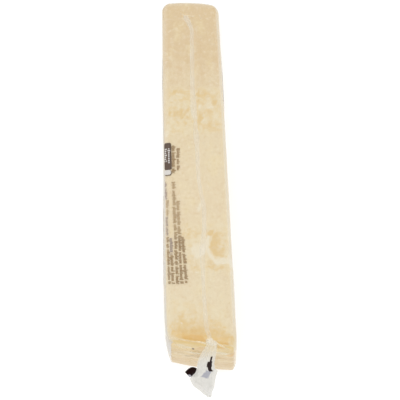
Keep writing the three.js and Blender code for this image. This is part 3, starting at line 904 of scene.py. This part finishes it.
def tail_finish():
    """Gathered film: greyish white, clearer at the neck, where painted highlight streaks whiten it, with
    silvery streaks and its printed marks.
    """
    finish, start = new_finish("gathered_film")
    spread = start.attribute("spread", "Vector")
    dark, grey = (mark.rise(0.42, 0.5) for mark in start.numbers("dark", "grey"))
    along = spread.parts()[1]
    streak = spread.stretched(1.0, 0.12, 1.0).noise(0.15, 3.0, 0.6)
    crumple = start.place().noise(0.003, 3.0)
    # painted highlight streaks at the neck, drawn as whiter film
    neck_highlights = streak.rise(0.4, 0.7) * along.rise(0.7, 0.2) * 0.3
    milk = (along.rise(0.12, 0.42) * 0.27 + neck_highlights + 0.33) * (along + (streak - 0.5) * 0.08).rise(0.07, 0.12)
    film = along.rise(0.18, 0.42).mix(colour(231, 222, 202), colour(229, 226, 216)).under(
        (streak * along.rise(0.2, 0.5), colour(224, 222, 218)),
        (grey, colour(178, 178, 186)),
        (dark, colour(36, 18, 15)),
    )
    start.surface({
        "Base Color": film,
        "Roughness": 0.4,
        "Specular IOR Level": 0.15,
        "Alpha": milk.larger(dark * 0.97).larger(grey * 0.9),
        "Normal": start.bump(streak * 0.0002 + crumple * 0.0010, 0.8),
    })
    return finish


def tail_ply(first, last, begin, end, sunk, seed):
    """One ply of the tail, between two shares of its width and two of its length from the neck, sunk towards
    the rind: a strip along the drooping run, lifted by broad pleats, fine gathers and crumples. Gives the
    grid of its points and their shares across and along."""
    share, place = even_grid((first, last), (end, begin), TAIL_GRID)
    run = MM * curve_through(TAIL_RUN, place)
    step = -np.gradient(run, axis=1)
    step /= np.linalg.norm(step, axis=2, keepdims=True)
    shares, lefts, rights = zip(*TAIL_EDGES)
    left, right = (MM * np.interp(place, shares, edge) for edge in (lefts, rights))
    lift = TAIL_PLEAT_DEPTH * np.sin(2 * np.pi * (TAIL_PLEATS * share + TAIL_PLEAT_DRIFT * place))
    lift *= place * (1 - share_of(place, *TAIL_FLATTENS))
    sway = TAIL_GATHER_SWAY[0] * np.sin(TAIL_GATHER_SWAY[1] * place) - TAIL_GATHER_DRIFT * place
    gather = np.sin(2 * np.pi * (TAIL_GATHERS * share + sway))
    lift += TAIL_GATHER_DEPTH * gather * (1 - TAIL_GATHER_FADE * place)
    spread = on_plane(share, place)
    lift += TAIL_CRUMPLE * place * lumps(spread * TAIL_SPREAD, TAIL_CRUMPLE_SIZE, seed)
    lift -= share_of(place, sunk, *TAIL_SINKS)
    outwards = run[..., 0] - lift * step[..., 1]
    up = run[..., 1] + lift * step[..., 0]
    return AXIS + np.stack((left + (right - left) * share, -outwards, up), axis=-1), spread


film_of_tail = tail_finish()
for name, first, last, begin, end, sunk, seed, marked in TAIL_PLIES:
    tail_middle, tail_spread = tail_ply(first, last, begin, end, sunk, seed)
    tail_ragged = TAIL_RAGGED * lumps(tail_spread * TAIL_SPREAD, TAIL_CRUMPLE_SIZE, TAIL_RAGGED_SEED)
    tail_dark, tail_grey = (
        marked * scraps(tail_spread[..., 0], tail_spread[..., 1], marks, tail_ragged)
        for marks in (TAIL_DARK, TAIL_GREY)
    )
    sheet_piece(
        name, tail_middle, TAIL_HALF, film_of_tail, "clear_film",
        spread=tail_spread, dark=tail_dark, grey=tail_grey,
    )

# The knot: the lump of bunched film at the tail's neck, where the tube's end was clipped, seared and let go.
# It sits on the rounded edge of the cut, across the end of the lap seam.
KNOT_MIDDLE = (0.0052, 0.1981)  # across X and along the film
KNOT_HALF = (0.0029, 0.0014)
KNOT_HEIGHT = 0.0012
KNOT_GRID = (41, 31)
KNOT_LUMPS = ((1.0, 0.0009, 12),)
KNOT_LUMP_STRETCH = 0.35
KNOT_RIM = ((0.5, 0.0015, 15),)
KNOT_DOME = (0.05, 0.7)
KNOT_MILK = colour(234, 228, 211)
knot_across, knot_along = even_grid((-1, 1), (-1, 1), KNOT_GRID)
# a square, rounded to a disc, with a ragged rim
knot_x = KNOT_HALF[0] * knot_across * np.sqrt(1 - knot_along ** 2 / 2)
knot_run = KNOT_HALF[1] * knot_along * np.sqrt(1 - knot_across ** 2 / 2)
knot_lumps = layered(on_plane(knot_x, KNOT_LUMP_STRETCH * knot_run), KNOT_LUMPS)
knot_rim = 1 + layered(on_plane(knot_x, knot_run), KNOT_RIM)
knot_dome = np.sqrt((1 - knot_across ** 2) * (1 - knot_along ** 2))
knot_height = KNOT_HEIGHT * knot_dome * (0.75 + 0.2 * knot_lumps)
knot_x, knot_run = KNOT_MIDDLE[0] + knot_rim * knot_x, KNOT_MIDDLE[1] + knot_rim * knot_run
sheet_piece(
    "knot", along_film(knot_x, knot_run, knot_height), TAIL_HALF,
    welded_film_finish("bunched_film", KNOT_MILK, 0.03, 0.50), "clear_film",
    bead=smooth(knot_dome, *KNOT_DOME) * (0.75 + 0.5 * knot_lumps),
)

# The dark fold: a scrap of the tube's dark printed border, folded out of the gathers at the tail's left side.
# Its lower corner is bare grey film.
FOLD_INNER = ((-0.0017, -0.1979, 0.0690), (-0.0021, -0.2014, 0.0655))
FOLD_OUTER = ((-0.0083, -0.1992, 0.0666), (-0.0061, -0.2018, 0.0640))
FOLD_GRID = (31, 31)
FOLD_HALF = 0.00016
FOLD_CURL = 0.0006
FOLD_CURL_TURN = 3  # radians up the fold
FOLD_BULGE = 0.0017
FOLD_BARE = (0.30, 0.45)  # shares of its width and height
FOLD_BARE_RIM = (1.1, 0.85)
FOLD_INK = colour(28, 9, 7)
FOLD_FILM = colour(176, 174, 182)


def ink_finish(name, ink, worn):
    """Ink on film: a satin skin with paler worn flecks and a bare patch where the attribute "bare" says."""
    finish, start = new_finish(name)
    place = start.place()
    wear = place.noise(0.0016, 3.0).rise(0.6, 0.74)
    start.surface({
        "Base Color": (wear * 0.5).larger(start.attribute("bare", "Fac")).mix(ink, worn),
        "Roughness": wear * 0.2 + 0.5,
        "Specular IOR Level": 0.05,
        "Normal": start.bump(place.noise(0.001, 2.0) * 0.0001, 0.3),
    })
    return finish


fold_share, fold_up = even_grid((0, 1), (0, 1), FOLD_GRID)
fold_inner, fold_outer = (
    np.array(low) + (np.array(high) - low) * fold_up[..., None] for high, low in (FOLD_INNER, FOLD_OUTER)
)
fold_middle = AXIS + fold_outer + (fold_inner - fold_outer) * fold_share[..., None]
fold_arch = np.sin(np.pi * fold_share)
fold_middle[..., 1] += FOLD_BULGE * fold_arch * fold_up
fold_middle[..., 2] += FOLD_CURL * fold_arch * np.cos(FOLD_CURL_TURN * fold_up)
fold_corner = np.hypot(fold_share / FOLD_BARE[0], fold_up / FOLD_BARE[1])
sheet_piece(
    "dark_fold", fold_middle, FOLD_HALF, ink_finish("border_ink", FOLD_INK, FOLD_FILM), "brown_print",
    bare=smooth(fold_corner, *FOLD_BARE_RIM),
)

# The creases: fine ridges of film, drawn tight from the neck of the tail along the rind's rounded upper edge,
# with slack ones below them on the rind, a small crossed pucker at the tip, where the seam starts, and long
# wrinkles that fan out over both sides.
CREASE_GRID = (7, 120)
CREASE_HALF = 0.00008
CREASE_MILK = colour(240, 230, 202)
# radius and share of the height of the origin, first and last direction, number of wrinkles
WRINKLE_FANS = (
    (0.197, 0.93, 0.45, 1.25, 7),
    (0.016, 0.50, math.pi + 0.06, math.pi + 0.33, 4),
)
WRINKLE_STARTS = (0.020, 0.034)
WRINKLE_LENGTHS = (0.014, 0.036)
WRINKLE_WIDTHS = (0.0010, 0.0018)
WRINKLE_HEIGHTS = (0.00006, 0.00014)
WRINKLE_BEND = 0.09
WRINKLE_SIDES = (("left_wrinkles", -1, 31), ("right_wrinkles", 1, 32))  # name, side and seed
RIDGE_ENDS = (0.01, 0.99)
RIDGE_TAPER = 0.6
CREASES = (  # points across X and along the film from the wheel's axis, width, height, milkiness
    (((-15.0, 198.0), (-9.2, 198.8), (-4.0, 198.9), (2.4, 199.0)), 0.9, 0.3, 0.7),
    (((-2.6, 198.4), (0.8, 198.9), (4.0, 200.0)), 1.1, 0.3, 1.5),
    (((6.8, 197.6), (9.8, 199.3), (14.2, 201.6)), 1.0, 0.1, 1.8),
    (((-13.5, 204.0), (-10.0, 206.6), (-6.2, 209.2)), 1.6, 0.3, 1.0),
    (((-6.2, 211.8), (-3.5, 213.6), (1.2, 215.1)), 1.0, 0.3, 1.0),
    (((6.8, 210.0), (11.0, 209.8), (15.8, 208.4)), 2.0, 0.3, 1.0),
    (((-6.0, 18.6), (-2.2, 20.0), (3.0, 20.6)), 0.6, 0.3, 1.0),
    (((5.0, 22.2), (5.6, 20.8)), 0.6, 0.2, 1.0),
)


def ridge(knots, width, height, lay):
    """A low ridge on the film along a smooth curve through the knots: a grid that is widest and highest
    halfway along and narrows to nothing at both ends, with a rounded crown. lay puts it on the film."""
    along = np.linspace(0, 1, CREASE_GRID[1])
    line = curve_through(knots, along)
    step = np.gradient(line, axis=0)
    step /= np.linalg.norm(step, axis=1, keepdims=True)
    taper = np.sin(np.pi * np.clip(along, *RIDGE_ENDS)) ** RIDGE_TAPER
    side = np.linspace(-1, 1, CREASE_GRID[0])[:, None]
    first = line[:, 0] + side * step[:, 1] * taper * width / 2
    second = line[:, 1] - side * step[:, 0] * taper * width / 2
    crown = taper * (1 - side * side)
    return lay(first, second, height * crown), crown


def on_side(side):
    """A function that gives points above the film's left side, for -1, or its right one, for 1, by radius,
    arc and height: half the wedge's thickness, less its rounded end, and the height."""
    heel = FILM_FIT["left_heel"] if side < 0 else FILM_FIT["right_heel"]

    def lay(radius, arc, height):
        half = thickness_at(radius) / 2 - shoulder(WHEEL_RADIUS - radius, *heel)
        return AXIS + on_wheel(side * (half + height), radius, arc)
    return lay


def side_wrinkles(side, seed):
    """Ridges that fan out over one side of the film: from each fan's origin, at even steps of direction that
    are moved at random, a slightly bent line from a random distance on over a random length."""
    draw = np.random.default_rng(seed)
    made = []
    for radius, share, first, last, count in WRINKLE_FANS:
        origin = np.array((radius, share * radius * WEDGE_ANGLE))
        for index in range(count):
            turn = first + (last - first) * (index + draw.uniform(0, 1)) / count
            ahead = -np.array((math.cos(turn), math.sin(turn)))
            aside = np.array((-ahead[1], ahead[0]))
            start = draw.uniform(*WRINKLE_STARTS)
            length = draw.uniform(*WRINKLE_LENGTHS)
            bend = draw.uniform(-WRINKLE_BEND, WRINKLE_BEND) * length
            middle = origin + ahead * (start + length / 2) + aside * bend
            knots = (origin + ahead * start, middle, origin + ahead * (start + length))
            width, height = draw.uniform(*WRINKLE_WIDTHS), draw.uniform(*WRINKLE_HEIGHTS)
            made.append(ridge(knots, width, height, on_side(side)))
    return made


def ridge_piece(name, ridges, finish):
    """One piece from several ridges, each a closed sheet, their points numbered on from one to the next."""
    sheets = [closed_sheet(middle, CREASE_HALF) for middle, _ in ridges]
    points = np.concatenate([places for places, _ in sheets])
    step = len(points) // len(sheets)
    squares = np.concatenate([numbers + index * step for index, (_, numbers) in enumerate(sheets)])
    crowns = np.concatenate([both_faces(crown) for _, crown in ridges])
    new_piece(name, points, squares, finish, "clear_film", bead=crowns)


crease_finish = welded_film_finish("creased_film", CREASE_MILK, 0.02, 0.34)
for index, (knots, width, height, milkiness) in enumerate(CREASES):
    crease_middle, crease_crown = ridge(MM * np.array(knots), MM * width, MM * height, along_film)
    ridge_piece(f"crease_{index + 1}", [(crease_middle, crease_crown * milkiness)], crease_finish)
wrinkle_finish = welded_film_finish("wrinkled_film", CREASE_MILK, 0.01, 0.24)
for name, side, seed in WRINKLE_SIDES:
    ridge_piece(name, side_wrinkles(side, seed), wrinkle_finish)

# The print: thin brown ink on the film's left edge, partly on the upper cut and partly on the side. Small
# plain blocks stand in rows like lines of small type, beside a plain dark badge with a white foot.
ON_FILM = (0.00003, 0.00009)  # the lower and upper face of the ink, above the film
ON_BADGE = (0.00009, 0.00015)
# flattened place across X at the start and the end, start and end by radius, height of the blocks
ROWS = (
    (-14.6, -14.7, 122.9, 131.3, 1.3), (-14.9, -14.6, 143.3, 169.7, 1.4),
    (-12.9, -12.7, 153.5, 169.5, 1.7), (-11.1, -10.5, 113.0, 169.3, 1.7),
    (-9.1, -8.4, 123.5, 169.1, 1.7), (-7.2, -6.0, 143.3, 168.4, 1.7),
    (-10.6, -10.9, 93.0, 108.1, 2.0), (-8.3, -8.6, 94.5, 107.0, 1.5),
    (-21.5, -22.2, 118.0, 168.0, 1.7), (-23.7, -24.4, 118.0, 164.0, 1.7),
    (-25.9, -26.6, 124.0, 168.0, 1.7), (-28.1, -28.8, 124.0, 156.0, 1.7),
)
FAINT_ROWS = (
    (-15.3, -15.2, 113.0, 122.2, 1.0), (-15.2, -15.0, 132.0, 142.6, 1.1),
    (-13.1, -12.9, 144.0, 153.1, 1.7),
)
BLOCK_LENGTHS = (0.00028, 0.00056)
BLOCK_GAP = 0.00025
WORD_GAP = 0.0009
WORD_BLOCKS = (4, 14)
RISES = (0.66, 0.74, 1.0)  # shares of a block's height
RISE_ODDS = (0.45, 0.25, 0.30)
DROPS = (0.0, 0.2)
DROP_ODDS = (0.85, 0.15)
INK_THINS = (0.110, 0.112)  # by radius
INK_RECOVERS = (0.146, 0.138)
TYPE_SEED = 21
BADGE_SEED = 22
FAINT_SEED = 23
SLAB_SQUARES = ((4, 5, 6, 7), (3, 2, 1, 0), (0, 1, 5, 4), (1, 2, 6, 5), (2, 3, 7, 6), (3, 0, 4, 7))
SLAB_POINTS = 8
BADGE = (-15.7, -11.9, 91.4, 106.2)  # flattened place across X from and to, by radius from and to
FOOT_LINE = (-15.7, -12.1, 106.6, 109.4)
FOOT = (-15.7, -12.4, 106.4, 109.0)
BADGE_ROUND = 0.0009
BADGE_GRID = (33, 61)
BADGE_TYPE_SCALE = 1.6
BADGE_ROWS = ((-13.0, -13.1, 94.5, 103.0, 1.1), (-14.7, -14.8, 94.5, 103.0, 1.1))


def round_edge(flat, radius, proud):
    """Points on the film at a flattened place across X, with the film laid out flat from the upper cut: on
    that cut, then round its left edge, a quarter circle, and then down the left side."""
    from_rind = WHEEL_RADIUS - radius
    left = shoulder(from_rind, *FILM_FIT["left_heel"]) - thickness_at(radius) / 2
    edge = np.minimum(FILM_FIT["edge_round"], EDGE_ROUND_SHARE * radius * WEDGE_ANGLE)
    over = np.maximum(left + edge - flat, 0)
    turn = np.minimum(over / edge, np.pi / 2)
    x = np.maximum(flat, left + edge) - (edge + proud) * np.sin(turn)
    top = radius * WEDGE_ANGLE - shoulder(from_rind, *UPPER_HEEL) + unevenness(x, radius)
    arc = top - edge + (edge + proud) * np.cos(turn) - np.maximum(over - edge * np.pi / 2, 0)
    return AXIS + on_wheel(x, radius, arc)


def type_blocks(rows, seed, scale=1.0):
    """The corners of small blocks along each row: random lengths, a gap after each block and a wider one
    after each word, all to a scale, until the row is full, with the row's slant."""
    draw = np.random.default_rng(seed)
    corners = []
    for first, last, start, end, height in MM * np.array(rows):
        place = start
        word = draw.integers(*WORD_BLOCKS)
        while place < end:
            length = scale * draw.uniform(*BLOCK_LENGTHS)
            bottom = first + (last - first) * (place - start) / (end - start) - height / 2
            rise = height * draw.choice(RISES, p=RISE_ODDS)
            drop = height * draw.choice(DROPS, p=DROP_ODDS)
            corners.append((bottom - drop, bottom + rise, place, min(place + length, end)))
            word -= 1
            place += length + scale * (BLOCK_GAP if word else WORD_GAP)
            word = word or draw.integers(*WORD_BLOCKS)
    return np.array(corners)


def slabs(corners, layer):
    """Flat closed slabs from the rows of corners: two rings of four points each, and six squares."""
    low, high, start, end = corners.T
    flat = np.stack((low, low, high, high), axis=1)
    radius = np.stack((start, end, end, start), axis=1)
    points = np.stack([round_edge(flat, radius, proud) for proud in layer], axis=1).reshape(-1, 3)
    squares = np.arange(len(corners))[:, None, None] * SLAB_POINTS + np.array(SLAB_SQUARES)
    return points, squares.reshape(-1, 4)


def ink_sheet(name, place, layer, finish):
    """A thin sheet of ink with rounded corners that lies on the film round its left edge."""
    low, high, start, end = MM * np.array(place)
    flat, radius = even_grid((low, high), (end, start), BADGE_GRID)
    flat, radius = rounded(flat, radius, low, high, start, end, BADGE_ROUND)
    middle = round_edge(flat, radius, (layer[0] + layer[1]) / 2)
    sheet_piece(name, middle, (layer[1] - layer[0]) / 2, finish, "brown_print")


brown_ink = ink_finish("brown_ink", colour(165, 138, 105), colour(190, 165, 130))
faint_ink = ink_finish("faint_ink", colour(170, 154, 146), colour(190, 174, 160))
dark_ink = ink_finish("grey_brown_ink", colour(104, 89, 78), colour(128, 113, 102))
white_ink = ink_finish("white_ink", colour(221, 217, 211), colour(204, 199, 193))
row_blocks = type_blocks(ROWS, TYPE_SEED)
row_thin = smooth(row_blocks[:, 2], *INK_THINS) * smooth(row_blocks[:, 2], *INK_RECOVERS)
row_bare = np.repeat(row_thin, SLAB_POINTS)
new_piece("type_rows", *slabs(row_blocks, ON_FILM), brown_ink, "brown_print", bare=row_bare)
new_piece("faint_rows", *slabs(type_blocks(FAINT_ROWS, FAINT_SEED), ON_FILM), faint_ink, "brown_print")
ink_sheet("badge", BADGE, ON_FILM, dark_ink)
ink_sheet("badge_foot_line", FOOT_LINE, ON_FILM, dark_ink)
ink_sheet("badge_foot", FOOT, ON_BADGE, white_ink)
badge_blocks = type_blocks(BADGE_ROWS, BADGE_SEED, BADGE_TYPE_SCALE)
new_piece("badge_rows", *slabs(badge_blocks, ON_BADGE), white_ink, "brown_print")

# The tip seal: the other end of the tube, welded flat, cut short and pressed against the blunt tip as a thin
# ribbed strip.
SEAL_HALF_LENGTH = 0.0095
SEAL_FROM = 0.0012
SEAL_TO = 0.0026
SEAL_GRID = (181, 9)
SEAL_HALF = 0.00006
SEAL_RIBS = 30
SEAL_RIB_DEPTH = 0.00004
seal_x, seal_arc = even_grid((SEAL_HALF_LENGTH, -SEAL_HALF_LENGTH), (SEAL_FROM, SEAL_TO), SEAL_GRID)
seal_rib = np.sin(np.pi * SEAL_RIBS * seal_x / SEAL_HALF_LENGTH)
seal_radius = TIP_RADIUS - SEAL_HALF - SEAL_RIB_DEPTH * seal_rib
sheet_piece(
    "tip_seal", AXIS + on_wheel(seal_x, seal_radius, seal_arc), SEAL_HALF,
    welded_film_finish("seal_film", SEAM_MILK, 0.1, 0.4), "clear_film", bead=0.5 + 0.5 * seal_rib,
)

# The table, the light and the camera: a white table in even soft light from all round and above, looked at
# from straight above with a long lens.
FLOOR_HALF = 3.0
FLOOR_DROP = 0.0003
FLOOR_GLOW = 0.55
FLOOR_GREY = (0.5, 0.5, 0.5, 1)
WHITE = (1, 1, 1, 1)
CAMERA_HEIGHT = 1.5
CAMERA_X = 0.00175
CAMERA_Y = -0.0019
CAMERA_ROLL = math.radians(-1.83)
FOCAL_PIXELS = 2886
PICTURE_PIXELS = 400
SENSOR_WIDTH = 36.0
CAMERA_REACH = 20.0
SKY_STRENGTH = 0.9
TOP_LAMP = ((-0.1, 0.15, 2.2), 1.6, 12.5)  # place, size and power
SIDE_LAMP_SIZE = 0.8
SIDE_LAMP_POWER = 1.6
SIDE_LAMP_DISTANCE = 1.2
SIDE_LAMP_HEIGHT = 0.55
SIDE_LAMPS = 4

floor_mesh = bpy.data.meshes.new("table")
floor_signs = ((-1, -1), (1, -1), (1, 1), (-1, 1))
floor_corners = [(x * FLOOR_HALF, y * FLOOR_HALF, -FLOOR_DROP) for x, y in floor_signs]
floor_mesh.from_pydata(floor_corners, [], [(0, 1, 2, 3)])
floor_finish, floor_start = new_finish("white_table")
floor_start.surface({
    "Base Color": FLOOR_GREY,
    "Roughness": 0.8,
    "Emission Color": WHITE,
    "Emission Strength": FLOOR_GLOW,
})
floor_mesh.materials.append(floor_finish)
floor = bpy.data.objects.new("table", floor_mesh)
bpy.context.scene.collection.objects.link(floor)

sky = bpy.data.worlds.new("soft_room")
sky.use_nodes = True
sky.node_tree.nodes["Background"].inputs["Color"].default_value = WHITE
sky.node_tree.nodes["Background"].inputs["Strength"].default_value = SKY_STRENGTH
bpy.context.scene.world = sky


def soft_lamp(name, place, size, power):
    """A square soft lamp that the camera doesn't see, turned towards the middle of the table."""
    lamp_data = bpy.data.lights.new(name, "AREA")
    lamp_data.size = size
    lamp_data.energy = power
    lamp = bpy.data.objects.new(name, lamp_data)
    lamp.location = place
    lamp.rotation_euler = (-Vector(place)).to_track_quat("-Z", "Y").to_euler()
    lamp.visible_camera = False
    bpy.context.scene.collection.objects.link(lamp)


soft_lamp("top_lamp", *TOP_LAMP)
for index in range(SIDE_LAMPS):
    turn = 2 * math.pi * (index + 0.5) / SIDE_LAMPS
    place = (SIDE_LAMP_DISTANCE * math.cos(turn), SIDE_LAMP_DISTANCE * math.sin(turn), SIDE_LAMP_HEIGHT)
    soft_lamp(f"side_lamp_{index + 1}", place, SIDE_LAMP_SIZE, SIDE_LAMP_POWER)

camera_data = bpy.data.cameras.new("overhead")
camera_data.sensor_width = SENSOR_WIDTH
camera_data.lens = SENSOR_WIDTH * FOCAL_PIXELS / PICTURE_PIXELS
camera_data.clip_end = CAMERA_REACH
camera = bpy.data.objects.new("overhead", camera_data)
camera.location = (CAMERA_X, CAMERA_Y, CAMERA_HEIGHT)
camera.rotation_euler = (0, 0, CAMERA_ROLL)
bpy.context.scene.collection.objects.link(camera)
bpy.context.scene.camera = camera
bpy.context.scene.view_settings.view_transform = "Standard"
